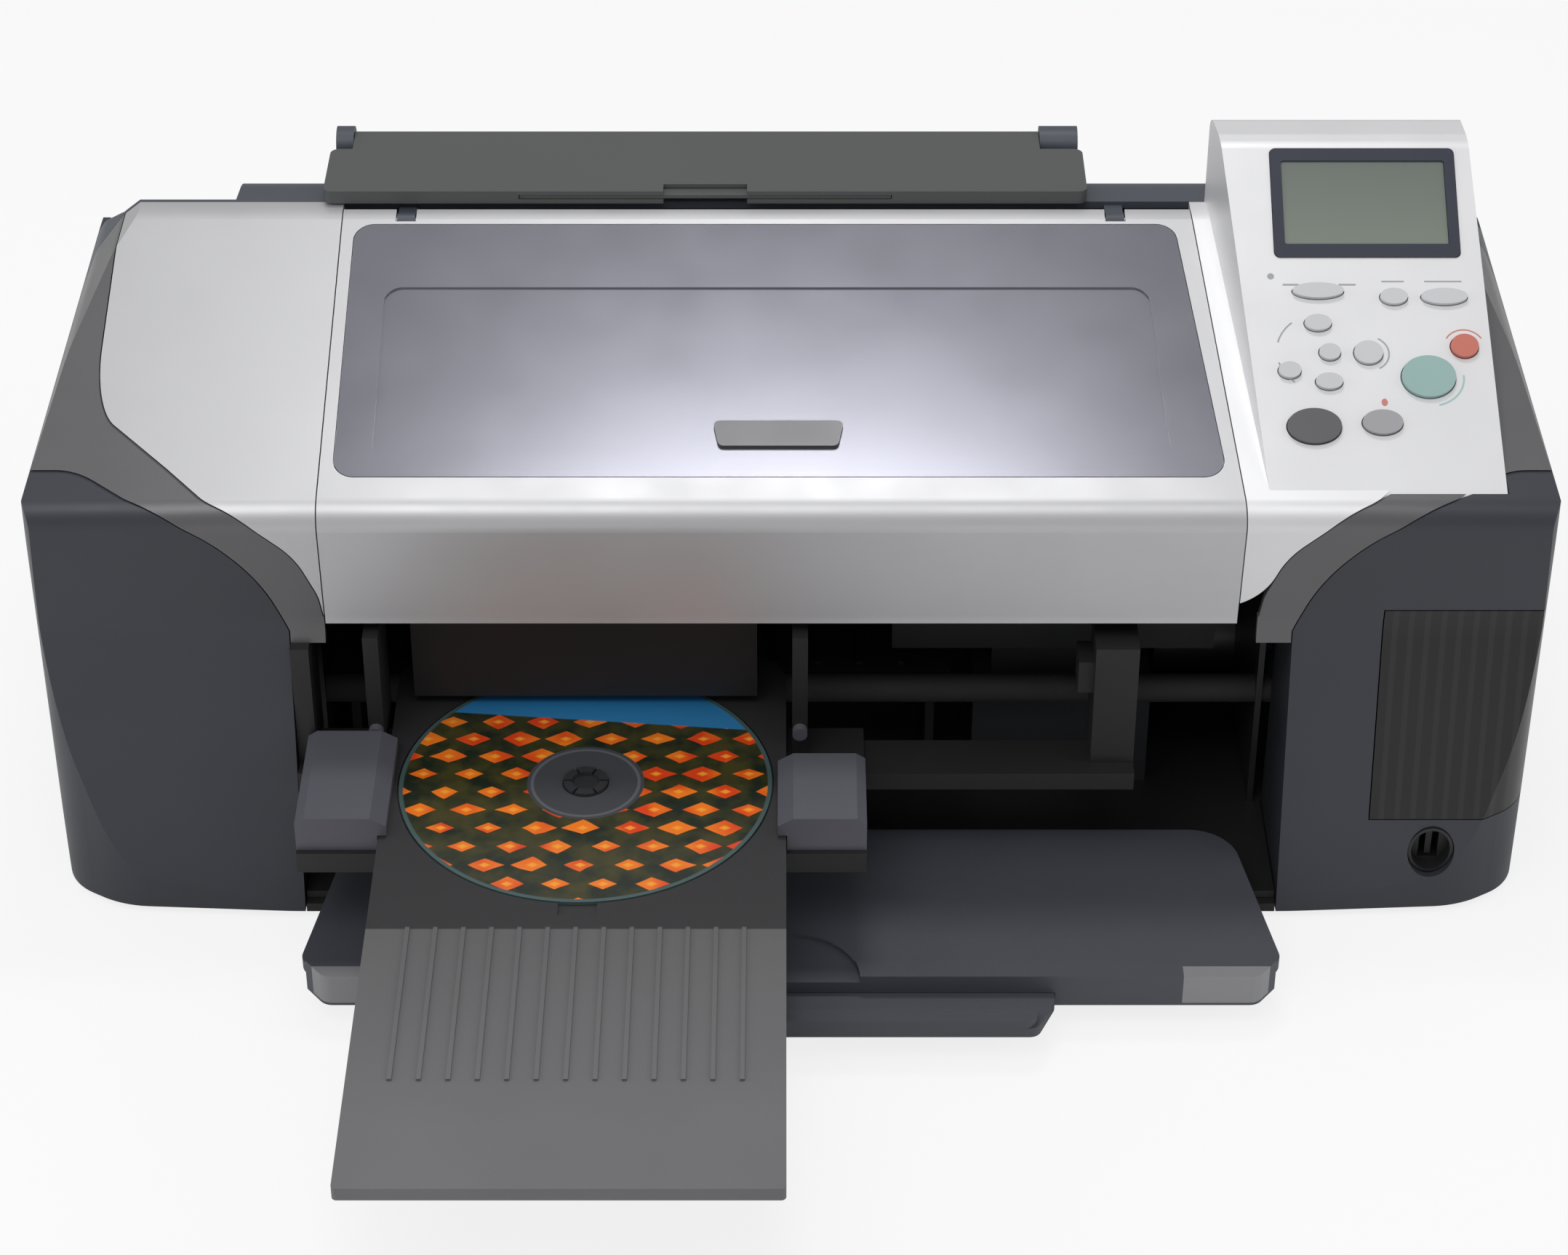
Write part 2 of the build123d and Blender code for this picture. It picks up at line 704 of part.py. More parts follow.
# ---------------------------------------------------------------- base case and feet
deck_plate = 2.6
deck_low = base_z + wall + fit_gap      # rests on the floors of the cheeks
deck_z = deck_low + deck_plate
feet_radius = 7.0
feet_places = [(-205.0, 36.0), (205.0, 36.0), (-205.0, 225.0), (205.0, 225.0)]
hinge_block_width = 4.6
tray_hinge_y, tray_hinge_z = 18.0, 12.2
tray_pin_radius = 1.5
tray_barrel = (100.0, 120.0)


def post(x, d, z_low, z_high, radius):
    """A round upright post."""
    with BuildPart() as solid:
        with BuildSketch(Plane.XY.offset(z_low)):
            with Locations((x, y(d))):
                Circle(radius)
        extrude(amount=z_high - z_low)
    return solid.part


deck_form = body_form(wall + 0.5)
lower_plate = block(-opening_x + seam, opening_x - seam, -20.0, cheek_rear - seam, base_z, deck_low)
with BuildPart() as base_sill:
    add(outer)
    add(lower_plate, mode=Mode.INTERSECT)
with BuildPart() as base_case:
    add(deck_form)
    add(block(-far, far, -20.0, far, deck_low, deck_z), mode=Mode.INTERSECT)
    add(base_sill.part)
    for sign in (-1, 1):
        low, high = sorted((sign * (opening_x - seam), sign * (opening_x + wall + seam)))
        add(block(low, high, -20.0, cheek_front_return + seam, base_z, far), mode=Mode.SUBTRACT)
        for inner_x in (tray_barrel[0] - fit_gap - hinge_block_width, tray_barrel[1] + fit_gap):
            low, high = sorted((sign * inner_x, sign * (inner_x + hinge_block_width)))
            add(block(low, high, tray_hinge_y - 4.0, tray_hinge_y + 4.0, deck_z, tray_hinge_z + 2.8))
            add(rod(low - 1, high + 1, tray_hinge_y, tray_hinge_z, tray_pin_radius + 0.08),
                mode=Mode.SUBTRACT)
keep(base_case, "base_case")

with BuildPart() as feet:
    for foot_x, foot_d in feet_places:
        add(post(foot_x, foot_d, 0.0, base_z, feet_radius))
keep(feet, "feet")

# ---------------------------------------------------------------- output tray
out_tray_plan = [
    (-out_tray_rear_half, out_tray_rear), (-out_tray_front_half, out_tray_front + 10.0),
    (-out_tray_front_half + 8.0, out_tray_front), (out_tray_front_half - 8.0, out_tray_front),
    (out_tray_front_half, out_tray_front + 10.0), (out_tray_rear_half, out_tray_rear),
]
out_tray_radii = [16, 6, 5, 5, 6, 16]
plate_low = out_tray_top - out_tray_plate
lip_low = out_tray_top + 1.0 - out_tray_lip
lip_depth = 8.0
cap_x = 125.0
cap_depth = 5.0
rail_width = 4.0
rail_step = 1.2
slide_gap = 0.25
extension_low = lip_low + rail_step + slide_gap
extension_high = extension_low + extension_plate
extension_rear = 8.0
lip_region = plan_prism(out_tray_plan, lip_low, out_tray_top + 1.0, out_tray_radii)
lip_front = out_tray_front + lip_depth
cap_parts = []
for sign in (-1, 1):
    low, high = sorted((sign * cap_x, sign * far))
    with BuildPart() as cap:
        add(lip_region)
        add(block(low, high, out_tray_front - 1, out_tray_front + cap_depth, lip_low + 1.0,
                  out_tray_top + 2), mode=Mode.INTERSECT)
    cap_parts.append(cap.part)
with BuildPart() as output_tray:
    add(lip_region)
    add(block(-far, far, lip_front, far, 0, plate_low), mode=Mode.SUBTRACT)
    add(block(-far, far, lip_front, far, out_tray_top, far), mode=Mode.SUBTRACT)
    for sign in (-1, 1):
        low, high = sorted((sign * cap_x, sign * far))
        add(block(low, high, out_tray_front - 2, out_tray_front + cap_depth, lip_low + 1.0,
                  out_tray_top + 2), mode=Mode.SUBTRACT)
        rail = extension_half + slide_gap
        low, high = sorted((sign * rail, sign * (rail + rail_width)))
        add(block(low, high, lip_front - 1, extension_rear, lip_low, plate_low))
        low, high = sorted((sign * (rail - 4.0), sign * rail))
        add(block(low, high, lip_front - 1, extension_rear, lip_low, lip_low + rail_step))
        barrel_low, barrel_high = sorted((sign * tray_barrel[0], sign * tray_barrel[1]))
        add(rod(barrel_low, barrel_high, tray_hinge_y, tray_hinge_z, 3.4))
        add(block(barrel_low, barrel_high, tray_hinge_y - 3.4, tray_hinge_y + 3.4, tray_hinge_z,
                  plate_low))
        add(rod(barrel_low - 4.0, barrel_high + 4.0, tray_hinge_y, tray_hinge_z, tray_pin_radius))
    add(block(-extension_half - slide_gap, extension_half + slide_gap, out_tray_front - 5, lip_front + 1,
              lip_low + rail_step, extension_high + slide_gap), mode=Mode.SUBTRACT)
    add(post(0.0, out_tray_front, out_tray_top - 1.4, out_tray_top + 3.0, thumb_radius),
        mode=Mode.SUBTRACT)
keep(output_tray, "output_tray")

with BuildPart() as tray_caps:
    for cap_part in cap_parts:
        add(cap_part)
keep(tray_caps, "tray_caps")

extension_front = out_tray_front - extension_reach
with BuildPart() as tray_extension:
    add(plan_prism(
        [(-extension_half, extension_rear), (-extension_half, out_tray_front - 4.0),
         (-extension_half + 6.0, extension_front), (extension_half - 6.0, extension_front),
         (extension_half, out_tray_front - 4.0), (extension_half, extension_rear)],
        extension_low, extension_high, [2, 4, 4, 4, 4, 2],
    ))
    add(plan_prism(
        [(-extension_half + 6.0, extension_front + 6.0), (-extension_half + 6.0, extension_front),
         (extension_half - 6.0, extension_front), (extension_half - 6.0, extension_front + 6.0)],
        extension_low, extension_high + 3.0, [1, 4, 4, 1],
    ))
keep(tray_extension, "tray_extension")

# ---------------------------------------------------------------- disc guide, disc tray and disc
tray_low = tray_top_z - tray_thickness
tray_half = disc_tray_width / 2
guide_deck_low = 49.0
guide_deck_top = tray_low - 1.0
guide_left = -opening_x + fit_gap
guide_front = -36.0
guide_block_right = 24.0
lip_over = 3.0
lip_gap = 0.3
guide_bracket = (98.0, 112.0)
nub_reach = 3.0
with BuildPart() as disc_guide:
    add(block(guide_left + 4.0, guide_block_right, guide_front, 30.0, guide_deck_low, guide_deck_top))
    add(block(disc_x - 40.0, disc_x + 40.0, guide_front - 1, 2.0, guide_deck_low - 1, guide_deck_top + 1),
        mode=Mode.SUBTRACT)
    add(block(guide_left, guide_bracket[1], 8.0, 26.0, guide_deck_low - 1.0, guide_deck_top - 2.0))
    for low, high in ((guide_left, guide_left + 6.0), guide_bracket):
        add(block(low, high, 14.0, 34.0, guide_deck_top - 2.0, 100.0))
    add(block(guide_bracket[0] - 5.0, guide_bracket[0], 18.0, 30.0, 80.0, 92.0))
    post_right = disc_x + tray_half + 2.0
    post_left = disc_x - tray_half - 2.0
    for low, high in ((post_left - 5.0, post_left), (post_right, post_right + 5.0)):
        add(block(low, high, 16.0, 40.0, guide_deck_top - 1.0, 103.0))
    add(block(post_left - 1.0, post_right + 1.0, 36.0, 40.0, 97.0, 103.0))
    add(block(disc_x - 58.0, disc_x + 55.0, 35.0, 37.0, tray_top_z + 4.0, 103.0))
keep(disc_guide, "disc_guide")

with BuildPart() as guide_blocks:
    right_x = disc_x + tray_half + fit_gap
    left_x = disc_x - tray_half - fit_gap
    right_profile = [
        (right_x, guide_deck_top), (guide_block_right, guide_deck_top), (guide_block_right, 67.0),
        (guide_block_right - 3.0, 69.0), (right_x + 2.0, 69.0), (right_x - lip_over, 66.0),
        (right_x - lip_over, tray_top_z + lip_gap), (right_x, tray_top_z + lip_gap),
    ]
    left_profile = [
        (left_x, guide_deck_top), (guide_left + 4.0, guide_deck_top), (guide_left + 4.0, 67.0),
        (guide_left + 7.0, 69.0), (left_x - 2.0, 69.0), (left_x + lip_over, 66.0),
        (left_x + lip_over, tray_top_z + lip_gap), (left_x, tray_top_z + lip_gap),
    ]
    add(front_prism(right_profile, guide_front + 2.0, 0.0))
    add(front_prism(left_profile, guide_front + 2.0, 12.0))
    for nub_x in (post_left - 2.5, post_right + 2.5):
        with BuildSketch(Plane.XZ.offset(-y(16.0))):
            with Locations((nub_x, 66.5)):
                Circle(2.4)
        extrude(amount=nub_reach)
keep(guide_blocks, "guide_blocks")

recess_depth = 1.1
rib_count = 13
rib_pitch = 8.6
rib_height = 0.8
rib_width = 1.4
tray_tip = -tray_reach
with BuildPart() as disc_tray:
    add(plan_prism(
        [(disc_x - tray_half, disc_tray_rear), (disc_x - tray_half, tray_tip),
         (disc_x + tray_half, tray_tip), (disc_x + tray_half, disc_tray_rear)],
        tray_low, tray_top_z, [12, 1.5, 1.5, 12],
    ))
    add(post(disc_x, disc_y, tray_top_z - recess_depth, tray_top_z + 1, disc_radius + 0.6),
        mode=Mode.SUBTRACT)
    add(block(disc_x - 6.0, disc_x + 6.0, disc_y - disc_radius - 6.0, disc_y - disc_radius + 4.0,
              tray_top_z - recess_depth, tray_top_z + 1), mode=Mode.SUBTRACT)
    for rib in range(rib_count):
        rib_x = disc_x + (rib - (rib_count - 1) / 2) * rib_pitch
        add(block(rib_x - rib_width / 2, rib_x + rib_width / 2, rib_end_y, tail_y, tray_top_z,
                  tray_top_z + rib_height))
keep(disc_tray, "disc_tray")

disc_low = tray_top_z - recess_depth + 0.05
with BuildPart() as disc:
    add(post(disc_x, disc_y, disc_low, disc_low + disc_thickness, disc_radius))
    add(post(disc_x, disc_y, disc_low - 1, disc_low + disc_thickness + 1, disc_hole_radius),
        mode=Mode.SUBTRACT)
keep(disc, "disc")

hub_boss_radius = disc_hole_radius - fit_gap
with BuildPart() as disc_hub:
    add(post(disc_x, disc_y, tray_top_z - recess_depth, tray_top_z + 1.2, hub_boss_radius))
    add(post(disc_x, disc_y, tray_top_z - 0.4, tray_top_z + 3, 4.4), mode=Mode.SUBTRACT)
    with Locations((disc_x, y(disc_y), tray_top_z + 1.2)):
        with PolarLocations(0, 6):
            Box(2 * hub_boss_radius + 2, 0.8, 2.4, mode=Mode.SUBTRACT)
keep(disc_hub, "disc_hub")

# ---------------------------------------------------------------- card door, card slots and sockets
door_region = block(card_x, far, -20.0, card_rear, card_low, card_high)
with BuildPart() as card_door:
    add(outer)
    add(inner, mode=Mode.SUBTRACT)
    add(door_region, mode=Mode.INTERSECT)
keep(card_door, "card_door")

slots_left, slots_right = 192.0, 228.0
slots_front, slots_rear = 41.0, 82.0
slot_width = 4.8
with BuildPart() as card_slots:
    add(block(slots_left, slots_right, slots_front, slots_rear, card_low + 4.0, card_high - 3.0))
    for slot in range(4):
        slot_x = slots_left + 6.0 + 8.0 * slot
        add(block(slot_x - slot_width / 2, slot_x + slot_width / 2, slots_front - 1,
                  slots_front + 30.0, card_low + 12.0, card_high - 10.0), mode=Mode.SUBTRACT)
    add(block(slots_left + 8.0, slots_right - 8.0, slots_front + 12.0, slots_rear - 4.0,
              deck_z, card_low + 4.0))
keep(card_slots, "card_slots")

port_front, port_rear = 5.0, 26.0
with BuildPart() as front_usb_port:
    add(oval_prism(usb_x, usb_z, usb_half_w, usb_half_h, port_front, port_rear))
    add(oval_prism(usb_x, usb_z, usb_half_w - 1.0, usb_half_h - 1.0, port_front - 1, port_front + 5.0),
        mode=Mode.SUBTRACT)
    add(block(usb_x - 3.2, usb_x + 3.2, port_front, port_front + 13.0, usb_z - 6.6, usb_z + 6.6),
        mode=Mode.SUBTRACT)
    add(block(usb_x - 1.0, usb_x + 1.0, port_front + 5.5, port_front + 13.5, usb_z - 5.6, usb_z + 5.6))
keep(front_usb_port, "front_usb_port")

with BuildPart() as rear_sockets:
    add(block(socket_x - socket_width / 2, socket_x + socket_width / 2, body_depth - 18.0,
              body_depth, socket_z - socket_height / 2, socket_z + socket_height / 2))
    add(block(socket_x - socket_width / 2 + 2.5, socket_x + socket_width / 2 - 2.5, body_depth - 14.0,
              body_depth + 1, socket_z - socket_height / 2 + 2.5, socket_z + socket_height / 2 - 2.5),
        mode=Mode.SUBTRACT)
    for pin_x in (socket_x - 5.0, socket_x, socket_x + 5.0):
        add(block(pin_x - 1.0, pin_x + 1.0, body_depth - 14.5, body_depth - 3.0, socket_z - 1.5,
                  socket_z + 1.5))
    add(block(rear_usb_x - 6.2, rear_usb_x + 6.2, body_depth - 12.0, body_depth, 28.3, 39.7))
    add(block(rear_usb_x - 4.4, rear_usb_x + 4.4, body_depth - 9.0, body_depth + 1, 30.0, 38.0),
        mode=Mode.SUBTRACT)
keep(rear_sockets, "rear_sockets")

# ---------------------------------------------------------------- mechanism
frame_x = 158.0
frame_sheet = 2.0
frame_front, frame_rear = 52.0, 129.0
frame_top = 150.0
motor_shelf_rear = 148.0
rod_y, rod_z, rod_radius = 103.0, 103.0, 4.0
feed_y, feed_radius = 115.0, 6.6
feed_z = tray_low - fit_gap - feed_radius
eject_y, eject_radius = 58.0, 4.8
eject_z = tray_low - fit_gap - eject_radius
back_low = 84.0
pulley_x, pulley_z = 146.0, 118.0
pulley_radius = 5.9
belt_gap = 0.1
belt_thickness = 1.4
belt_front, belt_rear = 119.9, 125.9
module_size = 1.0
feed_teeth, idler_teeth, eject_teeth, pinion_teeth = 36, 27, 24, 12
gear_low, gear_high = 164.5, 169.5


def pitch_radius(teeth):
    """Pitch radius of a gear of the train."""
    return module_size * teeth / 2


line_angle = math.atan2(eject_z - feed_z, eject_y - feed_y)
idler_run = pitch_radius(feed_teeth) + pitch_radius(idler_teeth)
idler_y = feed_y + idler_run * math.cos(line_angle)
idler_z = feed_z + idler_run * math.sin(line_angle)
pinion_angle = math.radians(-60.0)
pinion_run = pitch_radius(feed_teeth) + pitch_radius(pinion_teeth)
pinion_y = feed_y + pinion_run * math.cos(pinion_angle)
pinion_z = feed_z + pinion_run * math.sin(pinion_angle)
feed_phase = 0.0


def mesh_phase(phase, teeth, mate_teeth, angle):
    """The mate's angle that puts its gaps on the first gear's teeth, along the line of centres."""
    shift = 0.5 - (phase - angle) * teeth / (2 * math.pi)
    return angle + math.pi + shift * 2 * math.pi / mate_teeth


idler_phase = mesh_phase(feed_phase, feed_teeth, idler_teeth, line_angle)
eject_phase = mesh_phase(idler_phase, idler_teeth, eject_teeth, line_angle)
pinion_phase = mesh_phase(feed_phase, feed_teeth, pinion_teeth, pinion_angle)


def gear(depth, z, teeth, phase, bore):
    """A spur gear of the train, with slim teeth for backlash."""
    pitch = pitch_radius(teeth)
    root, tip = pitch - 1.25 * module_size, pitch + 0.85 * module_size
    root_half, tip_half = 0.95 * module_size, 0.36 * module_size
    with BuildPart() as wheel:
        with BuildSketch(Plane.YZ.offset(gear_low)):
            with Locations((y(depth), z)):
                Circle(root)
                with PolarLocations(0, teeth, start_angle=math.degrees(phase)):
                    Polygon(
                        (root - 0.4, -root_half), (tip, -tip_half), (tip, tip_half),
                        (root - 0.4, root_half), align=None,
                    )
                if bore:
                    Circle(bore, mode=Mode.SUBTRACT)
        extrude(amount=gear_high - gear_low)
    return wheel.part


bearing_gap = 0.08
side_plate = [
    (frame_front, deck_z), (motor_shelf_rear, deck_z), (motor_shelf_rear, back_low),
    (frame_rear, back_low), (frame_rear, frame_top), (frame_front + 30.0, frame_top),
    (frame_front, 90.0),
]
idler_stub_radius = 3.0
with BuildPart() as main_frame:
    for low in (-frame_x, frame_x - frame_sheet):
        add(side_prism(side_plate, low, low + frame_sheet, [0, 4, 0, 0, 4, 4, 4]))
    add(block(-frame_x + 1, frame_x - 1, frame_rear - frame_sheet, frame_rear, back_low, frame_top))
    add(block(-frame_x + 1, frame_x - 1, frame_rear - 10.0, frame_rear - 1, frame_top - frame_sheet,
              frame_top))
    for depth, z, radius in ((feed_y, feed_z, feed_radius), (eject_y, eject_z, eject_radius)):
        add(rod(-frame_x - 1, frame_x + 1, depth, z, radius + bearing_gap), mode=Mode.SUBTRACT)
    add(rod(-frame_x - 1, frame_x + 1, rod_y, rod_z, rod_radius + 0.05), mode=Mode.SUBTRACT)
    add(rod(frame_x - 1, gear_high + 1.0, idler_y, idler_z, idler_stub_radius))
    with BuildSketch(Plane.XZ.offset(-y(frame_rear + 1))):
        with Locations((pulley_x, pulley_z)):
            Circle(3.0)
    extrude(amount=frame_sheet + 2, mode=Mode.SUBTRACT)
    with BuildSketch(Plane.XZ.offset(-y(frame_rear - 1))):
        with Locations((-pulley_x, pulley_z)):
            Circle(2.0)
    extrude(amount=frame_rear - 1 - belt_front + 2.0)
    add(rod(frame_x - frame_sheet - 1, frame_x + 1, pinion_y, pinion_z, 2.2), mode=Mode.SUBTRACT)
keep(main_frame, "main_frame")

with BuildPart() as guide_rod:
    add(rod(-frame_x - 1.0, frame_x + 1.0, rod_y, rod_z, rod_radius))
keep(guide_rod, "guide_rod")

roller_out = frame_x + 2.0
with BuildPart() as feed_roller:
    add(rod(-roller_out, gear_low, feed_y, feed_z, feed_radius))
    add(gear(feed_y, feed_z, feed_teeth, feed_phase, 0))
keep(feed_roller, "feed_roller")
with BuildPart() as eject_roller:
    add(rod(-roller_out, gear_low, eject_y, eject_z, eject_radius))
    add(gear(eject_y, eject_z, eject_teeth, eject_phase, 0))
keep(eject_roller, "eject_roller")
with BuildPart() as idler_gear:
    add(gear(idler_y, idler_z, idler_teeth, idler_phase, idler_stub_radius + bearing_gap))
keep(idler_gear, "idler_gear")

motor_shaft = 1.6
with BuildPart() as feed_motor:
    add(rod(frame_x - frame_sheet - 28.0, frame_x - frame_sheet, pinion_y, pinion_z, 16.0))
    add(rod(frame_x - frame_sheet - 30.0, frame_x + 1.0, pinion_y, pinion_z, 2.1))
    add(rod(frame_x, gear_high + 1.5, pinion_y, pinion_z, motor_shaft))
keep(feed_motor, "feed_motor")
with BuildPart() as motor_pinion:
    add(gear(pinion_y, pinion_z, pinion_teeth, pinion_phase, motor_shaft + bearing_gap))
keep(motor_pinion, "motor_pinion")

carriage_x = 88.0
carriage_half = 54.0
carriage_front, carriage_back = 62.0, 94.0
carriage_low, carriage_top = 66.0, 124.0
carriage_wall = 2.0
clamp_half = 8.0
with BuildPart() as carriage:
    add(block(carriage_x - carriage_half, carriage_x + carriage_half, carriage_front, carriage_back,
              carriage_low, carriage_top))
    add(block(carriage_x - carriage_half + carriage_wall, carriage_x + carriage_half - carriage_wall,
              carriage_front + carriage_wall, carriage_back - carriage_wall, carriage_low + 6.0,
              carriage_top + 1), mode=Mode.SUBTRACT)
    add(block(carriage_x - carriage_half, carriage_x + carriage_half, carriage_back, rod_y + 9.0,
              rod_z - 9.0, rod_z + 9.0))
    add(rod(carriage_x - carriage_half - 1, carriage_x + carriage_half + 1, rod_y, rod_z,
            rod_radius + bearing_gap), mode=Mode.SUBTRACT)
    add(block(carriage_x - clamp_half, carriage_x + clamp_half, rod_y + 9.0, belt_front - fit_gap,
              rod_z, rod_z + 9.0))
keep(carriage, "carriage")

cartridge_count = 6
cartridge_gap = 0.8
bay = 2 * (carriage_half - carriage_wall)
cartridge_width = (bay - (cartridge_count + 1) * cartridge_gap) / cartridge_count
with BuildPart() as ink_cartridges:
    for index in range(cartridge_count):
        low = carriage_x - bay / 2 + cartridge_gap + index * (cartridge_width + cartridge_gap)
        add(block(low, low + cartridge_width, carriage_front + carriage_wall + 0.4,
                  carriage_back - carriage_wall - 0.4, carriage_low + 6.0, carriage_top - 3.0))
        add(block(low + 2, low + cartridge_width - 2, carriage_back - carriage_wall - 8.0,
                  carriage_back - carriage_wall - 3.0, carriage_top - 3.0, carriage_top + 2.0))
keep(ink_cartridges, "ink_cartridges")


def belt_loop(radius, d_low, d_high):
    """A slab whose outline is the belt's loop round both pulleys."""
    with BuildPart() as solid:
        with BuildSketch(Plane.XZ.offset(-y(d_high))):
            with Locations((0, pulley_z)):
                SlotCenterToCenter(2 * pulley_x, 2 * radius)
        extrude(amount=d_high - d_low)
    return solid.part


with BuildPart() as carriage_belt:
    add(belt_loop(pulley_radius + belt_gap + belt_thickness, belt_front, belt_rear))
    add(belt_loop(pulley_radius + belt_gap, belt_front - 1, belt_rear + 1), mode=Mode.SUBTRACT)
keep(carriage_belt, "carriage_belt")


def pulley(x, bore):
    """A flanged belt pulley on an axis along the depth."""
    with BuildPart() as wheel:
        with BuildSketch(Plane.XZ.offset(-y(belt_rear + 0.2))):
            with Locations((x, pulley_z)):
                Circle(pulley_radius)
        extrude(amount=belt_rear - belt_front + 0.4)
        for low in (belt_front - 1.0, belt_rear + 0.2):
            with BuildSketch(Plane.XZ.offset(-y(low + 0.8))):
                with Locations((x, pulley_z)):
                    Circle(pulley_radius + 1.2)
            extrude(amount=0.8)
        with BuildSketch(Plane.XZ.offset(-y(belt_rear + 2.0))):
            with Locations((x, pulley_z)):
                Circle(bore)
        extrude(amount=belt_rear - belt_front + 5.0, mode=Mode.SUBTRACT)
    return wheel


keep(pulley(pulley_x, motor_shaft + bearing_gap), "drive_pulley")
keep(pulley(-pulley_x, 2.0 + bearing_gap), "idler_pulley")

with BuildPart() as carriage_motor:
    with BuildSketch(Plane.XZ.offset(-y(frame_rear + 26.0))):
        with Locations((pulley_x, pulley_z)):
            Circle(13.0)
    extrude(amount=26.0)
    with BuildSketch(Plane.XZ.offset(-y(frame_rear + 1))):
        with Locations((pulley_x, pulley_z)):
            Circle(motor_shaft)
    extrude(amount=frame_rear + 1 - belt_front + 2.0)
keep(carriage_motor, "carriage_motor")

platen_left, platen_right = -frame_x + frame_sheet + fit_gap, 54.0
platen_front, platen_rear = 64.0, 107.0
platen_top = tray_low - 1.8
with BuildPart() as platen:
    add(block(platen_left, platen_right, platen_front, platen_rear, platen_top - 9.0, platen_top))
    for rib in range(14):
        rib_x = platen_left + 10.0 + rib * 14.0
        add(block(rib_x, rib_x + 2.0, platen_front + 3, platen_rear - 3, platen_top, platen_top + 1.0))
    for leg_x in (platen_left + 6.0, -50.0, platen_right - 8.0):
        add(block(leg_x, leg_x + 3.0, platen_front + 4, platen_rear - 4, deck_z, platen_top - 9.0))
keep(platen, "platen")

with BuildPart() as cap_station:
    add(block(62.0, 122.0, platen_front, platen_rear, deck_z, 52.0))
    add(block(68.0, 108.0, 68.0, 90.0, 52.0, carriage_low - 1.2))
    add(block(70.0, 106.0, 70.0, 88.0, carriage_low - 4.0, carriage_low), mode=Mode.SUBTRACT)
keep(cap_station, "cap_station")

# ---------------------------------------------------------------- electronics and screws
with BuildPart() as main_board:
    add(block(-150.0, -20.0, 205.0, 206.6, deck_z, 92.0))
    add(block(-110.0, -88.0, 202.4, 205.0, 40.0, 62.0))
    add(block(-72.0, -58.0, 203.2, 205.0, 46.0, 56.0))
    add(block(-140.0, -126.0, 199.0, 205.0, 20.0, 28.0))
    add(block(-52.0, -30.0, 200.0, 205.0, 66.0, 74.0))
keep(main_board, "main_board")
with BuildPart() as power_supply:
    add(block(60.0, 138.0, 190.0, 244.0, deck_z, 48.0))
    for slot in range(6):
        add(block(68.0 + 10 * slot, 72.0 + 10 * slot, 196.0, 238.0, 46.5, 49.0), mode=Mode.SUBTRACT)
keep(power_supply, "power_supply")
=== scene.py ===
"""Looks of the disc label printer: materials, small trim, studio and camera. Lengths in metres."""
import json
import math

import bmesh
import bpy
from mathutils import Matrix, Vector


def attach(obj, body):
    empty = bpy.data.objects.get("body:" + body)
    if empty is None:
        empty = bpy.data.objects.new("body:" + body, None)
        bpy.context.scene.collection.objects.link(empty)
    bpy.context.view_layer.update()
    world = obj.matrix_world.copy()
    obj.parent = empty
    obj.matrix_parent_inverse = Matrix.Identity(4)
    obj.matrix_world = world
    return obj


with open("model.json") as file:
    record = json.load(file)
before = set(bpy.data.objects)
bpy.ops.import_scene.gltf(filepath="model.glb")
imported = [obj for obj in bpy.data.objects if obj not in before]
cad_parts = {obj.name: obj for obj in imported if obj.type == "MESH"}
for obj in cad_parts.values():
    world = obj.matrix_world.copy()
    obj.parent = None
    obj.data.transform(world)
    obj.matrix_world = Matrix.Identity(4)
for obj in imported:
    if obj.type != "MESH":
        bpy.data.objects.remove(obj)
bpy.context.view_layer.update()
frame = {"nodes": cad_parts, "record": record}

MM = 0.001

# ---------------------------------------------------------------- camera
CAMERA_PLACE = (-2.2 * MM, -1020.0 * MM, 825.8 * MM)
CAMERA_DOWN = 35.6
LENS = 88.63

camera_data = bpy.data.cameras.new("camera")
camera_data.lens = LENS
camera_data.sensor_width = 36.0
camera_data.clip_start = 0.05
camera = bpy.data.objects.new("camera", camera_data)
camera.location = CAMERA_PLACE
camera.rotation_euler = (math.radians(90.0 - CAMERA_DOWN), 0.0, 0.0)
bpy.context.scene.collection.objects.link(camera)
bpy.context.scene.camera = camera
bpy.context.scene.view_settings.view_transform = "Standard"


# ---------------------------------------------------------------- node helpers
def new_material(name):
    """A material with an empty tree but for its output and shader."""
    material = bpy.data.materials.new(name)
    material.use_nodes = True
    tree = material.node_tree
    shader = tree.nodes["Principled BSDF"]
    return material, tree, shader


def feed(tree, value, socket):
    """Sets or links a socket."""
    if isinstance(value, bpy.types.NodeSocket):
        tree.links.new(value, socket)
    else:
        socket.default_value = value


def calc(tree, operation, first, second=0.0, clamp=False):
    """The output of one Math node."""
    node = tree.nodes.new("ShaderNodeMath")
    node.operation = operation
    node.use_clamp = clamp
    feed(tree, first, node.inputs[0])
    feed(tree, second, node.inputs[1])
    return node.outputs[0]


def blend_colour(tree, factor, first, second):
    """The output of one colour Mix node."""
    node = tree.nodes.new("ShaderNodeMix")
    node.data_type = "RGBA"
    feed(tree, factor, node.inputs[0])
    for value, socket in ((first, node.inputs[6]), (second, node.inputs[7])):
        feed(tree, value if isinstance(value, bpy.types.NodeSocket) else (*value, 1.0), socket)
    return node.outputs[2]


def place(tree):
    """The object's own coordinates, as the three outputs X, Y and Z."""
    coordinates = tree.nodes.new("ShaderNodeTexCoord")
    split = tree.nodes.new("ShaderNodeSeparateXYZ")
    tree.links.new(coordinates.outputs["Object"], split.inputs[0])
    return split.outputs


